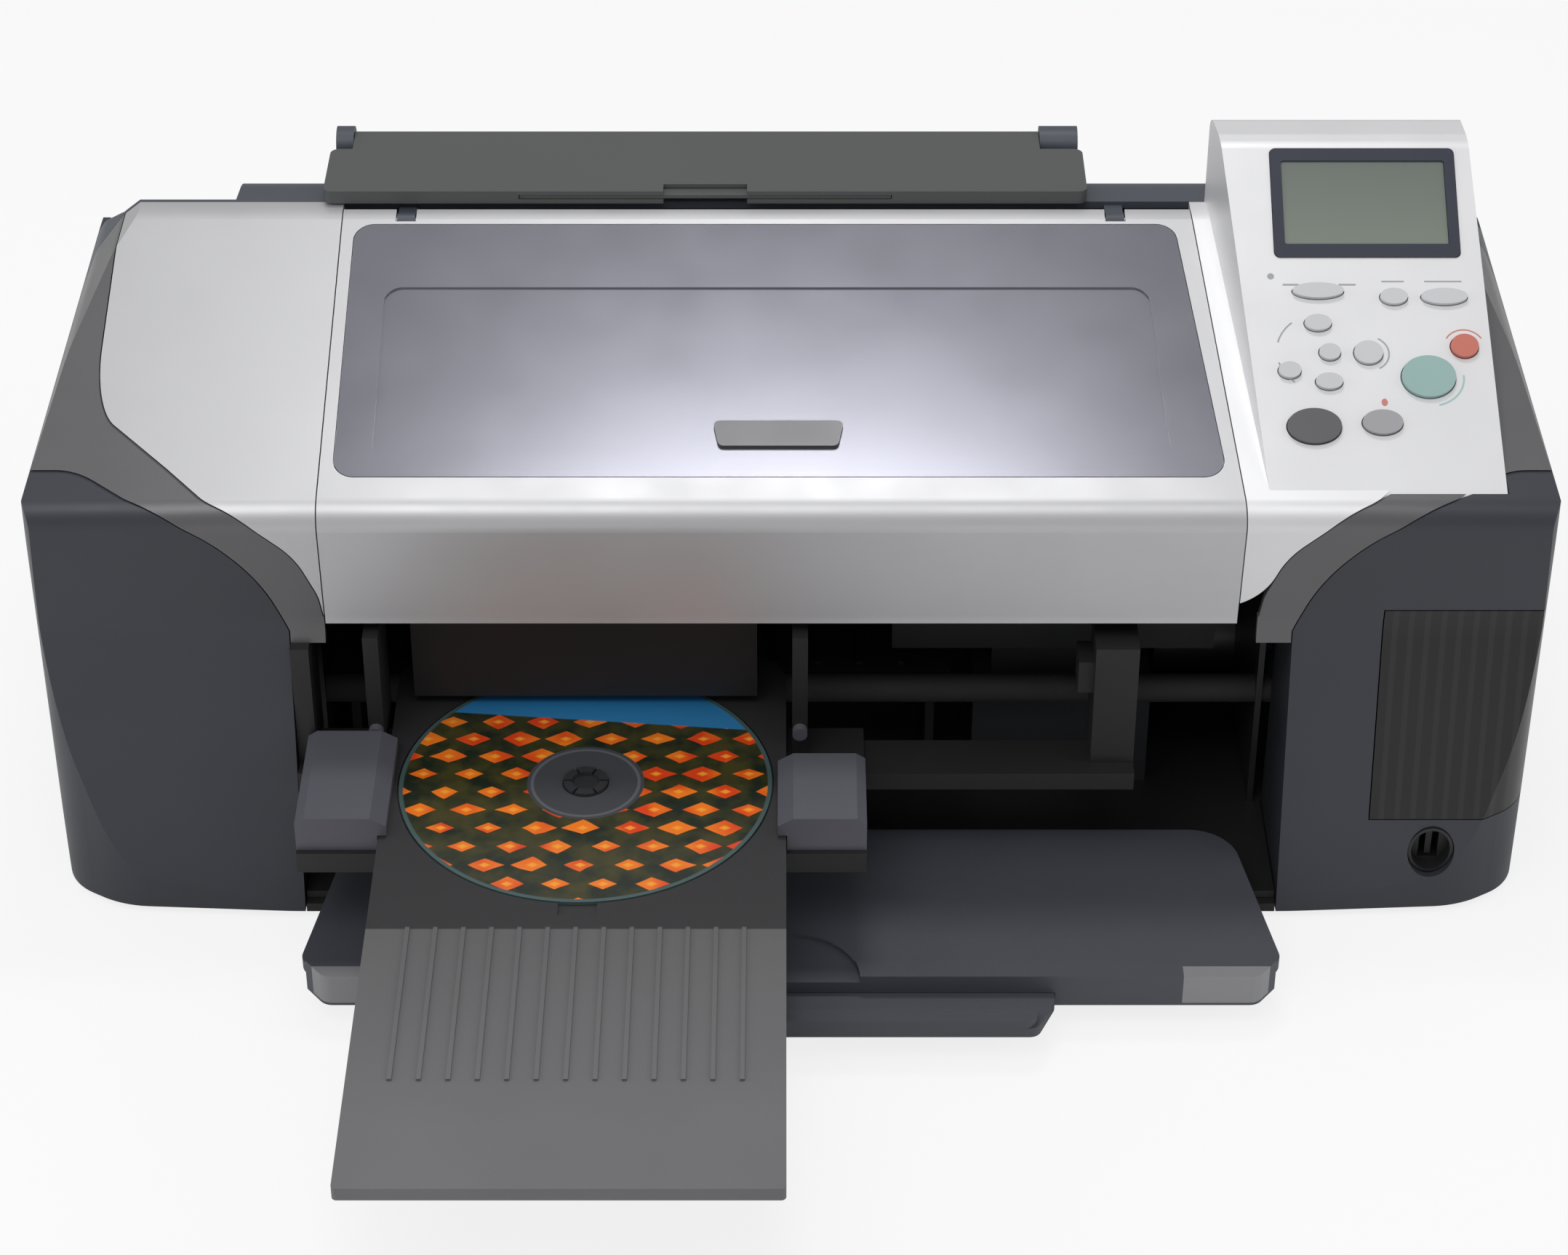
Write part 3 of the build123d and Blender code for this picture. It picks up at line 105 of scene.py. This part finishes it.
def noise(tree, scale, detail=3.0):
    """The value of a noise at so many cells per metre."""
    coordinates = tree.nodes.new("ShaderNodeTexCoord")
    node = tree.nodes.new("ShaderNodeTexNoise")
    node.inputs["Scale"].default_value = scale
    node.inputs["Detail"].default_value = detail
    tree.links.new(coordinates.outputs["Object"], node.inputs["Vector"])
    return node.outputs[0]


def ramp(tree, value, low, high, start, end):
    """value mapped from low..high to start..end, held at the ends."""
    node = tree.nodes.new("ShaderNodeMapRange")
    feed(tree, value, node.inputs["Value"])
    for name, number in (("From Min", low), ("From Max", high), ("To Min", start), ("To Max", end)):
        node.inputs[name].default_value = number
    return node.outputs[0]


def grain(tree, shader, scale, depth):
    """A moulded grain: noise bump of that depth in metres."""
    bump = tree.nodes.new("ShaderNodeBump")
    bump.inputs["Strength"].default_value = 1.0
    bump.inputs["Distance"].default_value = depth
    tree.links.new(noise(tree, scale), bump.inputs["Height"])
    tree.links.new(bump.outputs[0], shader.inputs["Normal"])


def tone(tree, colour, spread, scale=9.0):
    """A colour that wanders a little over the surface."""
    darker = [channel * (1.0 - spread) for channel in colour]
    lighter = [min(1.0, channel * (1.0 + spread)) for channel in colour]
    return blend_colour(tree, ramp(tree, noise(tree, scale), 0.3, 0.7, 0.0, 1.0), darker, lighter)


def moulded(name, colour, rough=0.5, metal=0.0, coat=0.0, spread=0.05, scale=1500.0, depth=0.00002):
    """A moulded or painted plastic, or plain metal, with fine grain and uneven gloss."""
    material, tree, shader = new_material(name)
    tree.links.new(tone(tree, colour, spread), shader.inputs["Base Color"])
    tree.links.new(ramp(tree, noise(tree, 40.0), 0.3, 0.7, rough * 0.93, rough * 1.07),
                   shader.inputs["Roughness"])
    shader.inputs["Metallic"].default_value = metal
    if coat:
        shader.inputs["Coat Weight"].default_value = coat
        shader.inputs["Coat Roughness"].default_value = 0.12
    grain(tree, shader, scale, depth)
    return material


# ---------------------------------------------------------------- materials of their own
DISC_CENTRE = (-66.0 * MM, -39.1 * MM)
LOZENGE_PITCH = 15.0 * MM
LOZENGE_FLATNESS = 0.62
KEEP_POSITIVE = 40.0
SKY_EDGE = 33.0 * MM
SKY_SLOPE = -0.10
HUB_RADIUS = 19.0 * MM
HUB_RING_RADIUS = 17.2 * MM
LABEL_RIM = (58.4 * MM, 58.8 * MM)
TAIL_EDGE = (-112.2 * MM, -111.4 * MM)
FIN_PITCH = 5.2 * MM


def disc_print():
    """A generic label: lozenges in warm colours on dark green under a blue segment."""
    material, tree, shader = new_material("disc_print")
    axes = place(tree)
    x = calc(tree, "SUBTRACT", axes[0], DISC_CENTRE[0])
    dy = calc(tree, "SUBTRACT", axes[1], DISC_CENTRE[1])
    radius = calc(tree, "SQRT", calc(tree, "ADD", calc(tree, "MULTIPLY", x, x),
                                     calc(tree, "MULTIPLY", dy, dy)))
    column = calc(tree, "DIVIDE", x, LOZENGE_PITCH)
    row = calc(tree, "DIVIDE", dy, LOZENGE_FLATNESS * LOZENGE_PITCH)
    whole_row = calc(tree, "FLOOR", calc(tree, "ADD", row, KEEP_POSITIVE))
    shift = calc(tree, "MULTIPLY", calc(tree, "MODULO", whole_row, 2.0), 0.5)
    across = calc(tree, "ABSOLUTE", calc(tree, "SUBTRACT", calc(
        tree, "FRACT", calc(tree, "ADD", calc(tree, "ADD", column, shift), KEEP_POSITIVE)), 0.5))
    up = calc(tree, "ABSOLUTE", calc(tree, "SUBTRACT", calc(
        tree, "FRACT", calc(tree, "ADD", row, KEEP_POSITIVE)), 0.5))
    reach = calc(tree, "ADD", across, up)
    size = ramp(tree, noise(tree, 55.0, 1.0), 0.35, 0.65, 0.30, 0.47)
    inside = ramp(tree, calc(tree, "SUBTRACT", size, reach), 0.0, 0.03, 0.0, 1.0)
    heart = ramp(tree, calc(tree, "SUBTRACT", 0.16, reach), 0.0, 0.08, 0.0, 1.0)
    field = blend_colour(tree, ramp(tree, noise(tree, 120.0), 0.35, 0.65, 0.0, 1.0),
                         (0.010, 0.018, 0.010), (0.055, 0.050, 0.012))
    warm = blend_colour(tree, ramp(tree, noise(tree, 70.0, 1.0), 0.4, 0.6, 0.0, 1.0),
                        (0.75, 0.055, 0.008), (0.90, 0.20, 0.012))
    motif = blend_colour(tree, heart, warm, (0.95, 0.36, 0.03))
    label = blend_colour(tree, inside, field, motif)
    skyline = calc(tree, "ADD", SKY_EDGE, calc(tree, "MULTIPLY", x, SKY_SLOPE))
    over_skyline = calc(tree, "SUBTRACT", dy, skyline)
    sky = blend_colour(tree, ramp(tree, dy, 40.0 * MM, 56.0 * MM, 0.0, 1.0),
                       (0.03, 0.21, 0.46), (0.005, 0.11, 0.33))
    label = blend_colour(tree, ramp(tree, over_skyline, 0.0, 0.6 * MM, 0.0, 1.0), label, sky)
    centre = ramp(tree, calc(tree, "SUBTRACT", HUB_RADIUS, radius), 0.0, 0.2 * MM, 0.0, 1.0)
    label = blend_colour(tree, centre, label, (0.055, 0.058, 0.065))
    ring = calc(tree, "ABSOLUTE", calc(tree, "SUBTRACT", radius, HUB_RING_RADIUS))
    label = blend_colour(tree, ramp(tree, ring, 0.3 * MM, 0.7 * MM, 0.35, 0.0), label, (0.22, 0.23, 0.25))
    edge = ramp(tree, radius, *LABEL_RIM, 0.0, 1.0)
    tree.links.new(blend_colour(tree, edge, label, (0.06, 0.10, 0.10)), shader.inputs["Base Color"])
    shader.inputs["Roughness"].default_value = 0.34
    shader.inputs["Coat Weight"].default_value = 0.25
    shader.inputs["Coat Roughness"].default_value = 0.1
    return material


def disc_tray_plastic():
    """Dark round the disc and mid-grey on the ribbed tail."""
    material, tree, shader = new_material("disc_tray_plastic")
    axes = place(tree)
    tail = ramp(tree, axes[1], *TAIL_EDGE, 1.0, 0.0)
    grey = blend_colour(tree, ramp(tree, axes[1], -200.0 * MM, -115.0 * MM, 0.0, 1.0),
                        (0.150, 0.150, 0.156), (0.112, 0.112, 0.115))
    grey = blend_colour(tree, ramp(tree, noise(tree, 14.0), 0.35, 0.65, 0.0, 0.25), grey,
                        (0.095, 0.095, 0.10))
    tree.links.new(blend_colour(tree, tail, (0.022, 0.022, 0.024), grey), shader.inputs["Base Color"])
    shader.inputs["Roughness"].default_value = 0.55
    grain(tree, shader, 1400.0, 0.00003)
    return material


def smoked_door():
    """Near-black smoked plastic with fins showing through."""
    material, tree, shader = new_material("smoked_door")
    axes = place(tree)
    wave = calc(tree, "SINE", calc(tree, "MULTIPLY", axes[0], 2.0 * math.pi / FIN_PITCH))
    tree.links.new(blend_colour(tree, ramp(tree, wave, 0.2, 0.7, 0.0, 1.0),
                                (0.005, 0.005, 0.006), (0.014, 0.014, 0.015)),
                   shader.inputs["Base Color"])
    shader.inputs["Roughness"].default_value = 0.3
    return material


def display():
    """A grey-green display with painted shade: darker towards its frame at the top, standing in for the
    frame's shadow.
    """
    material, tree, shader = new_material("display")
    axes = place(tree)
    # Painted shade: the colour goes darker from 200 mm to 222 mm high, towards the frame, where the frame's
    # shadow would fall.
    tree.links.new(blend_colour(tree, ramp(tree, axes[2], 200.0 * MM, 222.0 * MM, 0.0, 1.0),
                                (0.185, 0.215, 0.180), (0.120, 0.140, 0.125)),
                   shader.inputs["Base Color"])
    shader.inputs["Roughness"].default_value = 0.42
    grain(tree, shader, 2500.0, 0.000005)
    return material


SLOTS = {
    "silver_shell": moulded("silver_paint", (0.56, 0.56, 0.575), 0.43, 0.55, spread=0.02, scale=4000,
                            depth=0.000004),
    "panel_silver": moulded("pale_silver_paint", (0.80, 0.80, 0.815), 0.42, 0.45, spread=0.02, scale=4000,
                            depth=0.000004),
    "dark_shell": moulded("dark_case", (0.040, 0.043, 0.054), 0.42, 0.15),
    # Painted shade: grey_rim is the silver shell's paint made darker grey for the flanks where the silver
    # rounds down to the sides; the real band is the same silver, only in shade.
    "grey_rim": moulded("grey_rim", (0.135, 0.135, 0.14), 0.38, 0.45, spread=0.03),
    "rear_shell": moulded("rear_case_plastic", (0.060, 0.070, 0.088), 0.5),
    "support_grey": moulded("support_plastic", (0.082, 0.086, 0.086), 0.5, spread=0.04),
    "window_smoke": moulded("smoked_window", (0.205, 0.205, 0.24), 0.22, 0.55, spread=0.02, scale=4000,
                            depth=0.000003),
    "badge_metal": moulded("bare_badge", (0.105, 0.105, 0.11), 0.34, 0.5, spread=0.02, depth=0.000003),
    "lcd_frame": moulded("display_frame", (0.028, 0.032, 0.052), 0.3, coat=0.4),
    "lcd_glass": display(),
    "button_light": moulded("button_light", (0.60, 0.61, 0.63), 0.38, 0.15),
    "button_red": moulded("button_red", (0.56, 0.17, 0.13), 0.4),
    "button_teal": moulded("button_teal", (0.30, 0.45, 0.43), 0.4),
    "button_dark": moulded("button_dark", (0.125, 0.125, 0.135), 0.38, 0.2),
    "button_mid": moulded("button_mid", (0.38, 0.38, 0.40), 0.38, 0.2),
    "card_smoke": smoked_door(),
    "inner_black": moulded("inner_black", (0.013, 0.013, 0.014), 0.55),
    "guide_grey": moulded("guide_plastic", (0.088, 0.088, 0.108), 0.48),
    "tray_blue": moulded("tray_plastic", (0.060, 0.064, 0.078), 0.52, spread=0.06, scale=1100, depth=0.00005),
    "cap_grey": moulded("tray_cap", (0.26, 0.26, 0.275), 0.4, 0.2),
    "disc_tray_grey": disc_tray_plastic(),
    "hub_grey": moulded("hub_plastic", (0.028, 0.029, 0.033), 0.4),
    "disc_print": disc_print(),
    "cartridge_grey": moulded("cartridge_plastic", (0.03, 0.03, 0.034), 0.4),
    "gear_white": moulded("gear_plastic", (0.66, 0.65, 0.61), 0.45),
    "board_green": moulded("circuit_board", (0.015, 0.10, 0.045), 0.4, coat=0.3, spread=0.2, scale=700),
    "socket_black": moulded("socket_plastic", (0.016, 0.016, 0.018), 0.45),
    "foot_rubber": moulded("rubber", (0.018, 0.018, 0.018), 0.8, scale=900, depth=0.00006),
    "roller_rubber": moulded("roller_rubber", (0.03, 0.03, 0.032), 0.75, scale=900, depth=0.00005),
    "frame_steel": moulded("sheet_steel", (0.10, 0.10, 0.104), 0.4, 0.9, scale=600, depth=0.00001),
    "steel": moulded("bar_steel", (0.50, 0.50, 0.51), 0.22, 1.0, spread=0.03, depth=0.000003),
}

EDGE = {
    "silver_shell": 0.7, "panel_silver": 0.7, "dark_shell": 0.6, "grey_rim": 0.5, "rear_shell": 0.6,
    "support_grey": 0.5, "window_smoke": 0.35, "badge_metal": 0.25, "tray_blue": 0.5, "cap_grey": 0.5,
    "guide_grey": 0.5, "disc_tray_grey": 0.2, "card_smoke": 0.4, "lcd_frame": 0.3, "button_light": 0.35,
    "button_red": 0.35, "button_teal": 0.35, "button_dark": 0.35, "button_mid": 0.35,
}


EDGE_SEGMENTS = 2
EDGE_ANGLE = 40.0


def soften(piece, width):
    """Rounds a node's edges by a modifier, as moulded parts are."""
    bevel = piece.modifiers.new("edges", "BEVEL")
    bevel.width = width * MM
    bevel.segments = EDGE_SEGMENTS
    bevel.limit_method = "ANGLE"
    bevel.angle_limit = math.radians(EDGE_ANGLE)
    bevel.harden_normals = False


for entry in frame["record"]["subparts"]:
    piece = frame["nodes"][entry["node"]]
    for held in piece.material_slots:
        held.material = SLOTS[entry["material_slot"]]
    if entry["material_slot"] in EDGE:
        soften(piece, EDGE[entry["material_slot"]])

# ---------------------------------------------------------------- marks on the control panel
FACE_ORIGIN = Vector((0.0, -10.5 * MM, 152.0 * MM))
FACE_RISE, FACE_RUN = 69.0, 106.0
FACE_ANGLE = math.atan2(FACE_RISE, FACE_RUN)
FACE_UP = Vector((0.0, math.cos(FACE_ANGLE), math.sin(FACE_ANGLE)))
FACE_NORMAL = Vector((0.0, -math.sin(FACE_ANGLE), math.cos(FACE_ANGLE)))
PRINT_HEIGHT = 0.06
PRINT_ROOT = -0.2


def on_face(x, w, height):
    """The point x across and w up the panel's face, that high over it, from millimetres."""
    return FACE_ORIGIN + Vector((x * MM, 0.0, 0.0)) + FACE_UP * w * MM + FACE_NORMAL * height * MM


def mark(name, rings, material):
    """Thin flat plates on the face, each a closed ring of (x, w) points."""
    mesh = bpy.data.meshes.new(name)
    shape = bmesh.new()
    for ring in rings:
        top = [shape.verts.new(on_face(x, w, PRINT_HEIGHT)) for x, w in ring]
        bottom = [shape.verts.new(on_face(x, w, PRINT_ROOT)) for x, w in ring]
        shape.faces.new(top)
        shape.faces.new(bottom[::-1])
        for at in range(len(ring)):
            after = (at + 1) % len(ring)
            shape.faces.new((top[at], bottom[at], bottom[after], top[after]))
    bmesh.ops.recalc_face_normals(shape, faces=shape.faces)
    shape.to_mesh(mesh)
    shape.free()
    piece = bpy.data.objects.new(name, mesh)
    mesh.materials.append(material)
    bpy.context.scene.collection.objects.link(piece)
    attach(piece, "printer")
    return piece


def arc(x, w, half_w, half_h, width, start, end, steps=28):
    """A stroke along part of an oval, as one ring of points."""
    outer, inner = [], []
    for step in range(steps + 1):
        angle = math.radians(start + (end - start) * step / steps)
        outer.append((x + (half_w + width) * math.cos(angle), w + (half_h + width) * math.sin(angle)))
        inner.append((x + half_w * math.cos(angle), w + half_h * math.sin(angle)))
    return outer + inner[::-1]


def oval(x, w, half_w, half_h, steps=24):
    """A filled oval."""
    return [(x + half_w * math.cos(2 * math.pi * step / steps),
             w + half_h * math.sin(2 * math.pi * step / steps)) for step in range(steps)]


def bar(x_low, x_high, w_low, w_high):
    """A filled rectangle."""
    return [(x_low, w_low), (x_high, w_low), (x_high, w_high), (x_low, w_high)]


grey_ink = moulded("grey_ink", (0.36, 0.37, 0.39), 0.5)
red_ink = moulded("red_ink", (0.60, 0.22, 0.18), 0.5)
teal_ink = moulded("teal_ink", (0.38, 0.55, 0.54), 0.5)
mark("panel_marks_grey", [
    bar(158.0, 163.2, 75.2, 75.8), bar(176.0, 181.5, 75.2, 75.8),
    bar(189.8, 197.0, 76.4, 76.9), bar(203.6, 215.6, 76.4, 76.9),
    oval(154.3, 78.5, 1.1, 1.1),
    arc(184.2, 51.1, 6.4, 5.8, 0.5, -60, 60), arc(169.8, 51.5, 14.5, 13.4, 0.5, 130, 165),
    arc(169.8, 51.5, 14.5, 13.4, 0.5, 195, 230),
], grey_ink)
mark("panel_marks_red", [arc(215.0, 53.4, 6.2, 5.8, 0.45, 30, 150), oval(188.5, 34.0, 1.0, 1.3)],
     red_ink)
mark("panel_marks_teal", [arc(202.9, 42.6, 11.0, 9.6, 0.6, -75, 5)], teal_ink)


# ---------------------------------------------------------------- studio
AMBIENT = 0.42
world = bpy.data.worlds.new("studio")
bpy.context.scene.world = world
world.use_nodes = True
sky = world.node_tree.nodes["Background"]
sky.inputs["Color"].default_value = (1.0, 1.0, 1.0, 1.0)
seen = world.node_tree.nodes.new("ShaderNodeLightPath")
feed(world.node_tree, ramp(world.node_tree, seen.outputs["Is Camera Ray"], 0.0, 1.0, AMBIENT, 1.0),
     sky.inputs["Strength"])

floor_mesh = bpy.data.meshes.new("floor")
FLOOR_HALF = 4.0
FLOOR_WHITE = (0.86, 0.86, 0.86, 1.0)
FLOOR_SHOWN = 0.82
floor_mesh.from_pydata(
    [(-FLOOR_HALF, -FLOOR_HALF, 0), (FLOOR_HALF, -FLOOR_HALF, 0), (FLOOR_HALF, FLOOR_HALF, 0),
     (-FLOOR_HALF, FLOOR_HALF, 0)], [], [(0, 1, 2, 3)])
floor = bpy.data.objects.new("floor", floor_mesh)
bpy.context.scene.collection.objects.link(floor)
floor_material = bpy.data.materials.new("floor_white")
floor_material.use_nodes = True
floor_tree = floor_material.node_tree
floor_shader = floor_tree.nodes["Principled BSDF"]
floor_shader.inputs["Base Color"].default_value = FLOOR_WHITE
floor_shader.inputs["Roughness"].default_value = 0.9
glow = floor_tree.nodes.new("ShaderNodeEmission")
glow.inputs["Color"].default_value = (1.0, 1.0, 1.0, 1.0)
glow.inputs["Strength"].default_value = 1.0
mixer = floor_tree.nodes.new("ShaderNodeMixShader")
floor_seen = floor_tree.nodes.new("ShaderNodeLightPath")
floor_share = calc(floor_tree, "MULTIPLY", floor_seen.outputs["Is Camera Ray"], FLOOR_SHOWN)
feed(floor_tree, floor_share, mixer.inputs[0])
floor_tree.links.new(floor_shader.outputs[0], mixer.inputs[1])
floor_tree.links.new(glow.outputs[0], mixer.inputs[2])
floor_tree.links.new(mixer.outputs[0], floor_tree.nodes["Material Output"].inputs[0])
floor_mesh.materials.append(floor_material)


def lamp(name, place_at, aim, width, height, power, shape="RECTANGLE"):
    """A soft area lamp, aimed at a point."""
    data = bpy.data.lights.new(name, "AREA")
    data.shape = shape
    data.size = width
    data.size_y = height
    data.energy = power
    light = bpy.data.objects.new(name, data)
    light.location = place_at
    light.rotation_euler = (Vector(aim) - Vector(place_at)).to_track_quat("-Z", "Y").to_euler()
    bpy.context.scene.collection.objects.link(light)


TARGET = (0.0, 0.0, 0.12)
lamp("key", (-0.3, -0.9, 1.7), TARGET, 1.3, 0.9, 10.5)
lamp("window_glint", (0.0, 0.36, 1.34), (0.0, 0.05, 0.17), 0.40, 0.20, 3.6, "ELLIPSE")
lamp("side_left", (-1.6, -0.3, 0.9), TARGET, 0.8, 1.0, 5.0)
lamp("side_right", (1.6, -0.3, 0.9), TARGET, 0.8, 1.0, 4.0)
